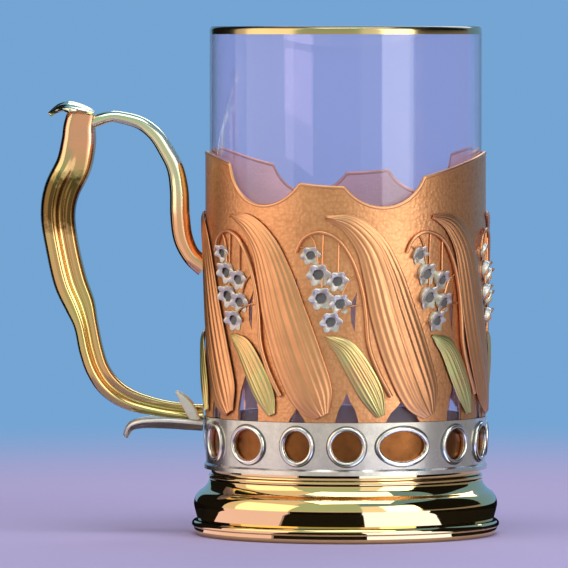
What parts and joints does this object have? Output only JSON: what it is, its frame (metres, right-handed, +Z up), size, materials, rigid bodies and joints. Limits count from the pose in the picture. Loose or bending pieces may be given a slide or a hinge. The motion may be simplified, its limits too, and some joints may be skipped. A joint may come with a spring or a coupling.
{
  "type": "podstakannik tea glass holder",
  "caption": "Handled metal holder for a tea glass: pierced gilt sleeve with raised leaves and silver bell flowers, silver gallery band, spun foot and a lift-out glass.",
  "frame": {"origin": "centre of the rest face under the foot, on the cup's axis", "axes": "+Z up along the cup's axis, -X towards the handle, -Y towards the front of the picture"},
  "size_m": [0.1147, 0.0768, 0.1269],
  "materials": {
    "gilt": "satin gilt, chased",
    "gilt_polished": "mirror-polished gilt",
    "silver_plate": "polished silver plate",
    "clear_glass": "clear",
    "gilt_rim_band": "fired gilt band"
  },
  "bodies": {
    "holder": {"foot_shell": "gilt_polished", "base_ring": "gilt_polished", "foot_collar": "gilt_polished", "floor_plate": "gilt", "gallery_band": "silver_plate", "opening_rims": "silver_plate", "sleeve": "gilt", "handle_blade": "gilt", "upper_arm": "gilt", "thumb_leaf": "gilt", "bracket_leaf": "silver_plate", "broad_leaf_1": "gilt", "broad_leaf_2": "gilt", "broad_leaf_3": "gilt", "broad_leaf_4": "gilt", "broad_leaf_5": "gilt", "broad_leaf_6": "gilt", "broad_leaf_7": "gilt", "broad_leaf_8": "gilt", "narrow_leaf_1": "gilt", "narrow_leaf_2": "gilt", "narrow_leaf_3": "gilt", "narrow_leaf_4": "gilt", "narrow_leaf_5": "gilt", "narrow_leaf_6": "gilt", "narrow_leaf_7": "gilt", "narrow_leaf_8": "gilt", "flower_stem_1": "gilt", "flower_stem_2": "gilt", "flower_stem_3": "gilt", "flower_stem_4": "gilt", "flower_stem_5": "gilt", "flower_stem_6": "gilt", "flower_stem_7": "gilt", "bell_spray_1": "silver_plate", "bell_spray_2": "silver_plate", "bell_spray_3": "silver_plate", "bell_spray_4": "silver_plate", "bell_spray_5": "silver_plate", "bell_spray_6": "silver_plate", "bell_spray_7": "silver_plate"},
    "glass": {"glass_tumbler": "clear_glass", "gilt_rim": "gilt_rim_band"}
  },
  "joints": [
    {"name": "glass_lift", "type": "slide", "parent": "holder", "child": "glass", "axis": [0, 0, 1], "range_m": [0, 0.09]}
  ]
}
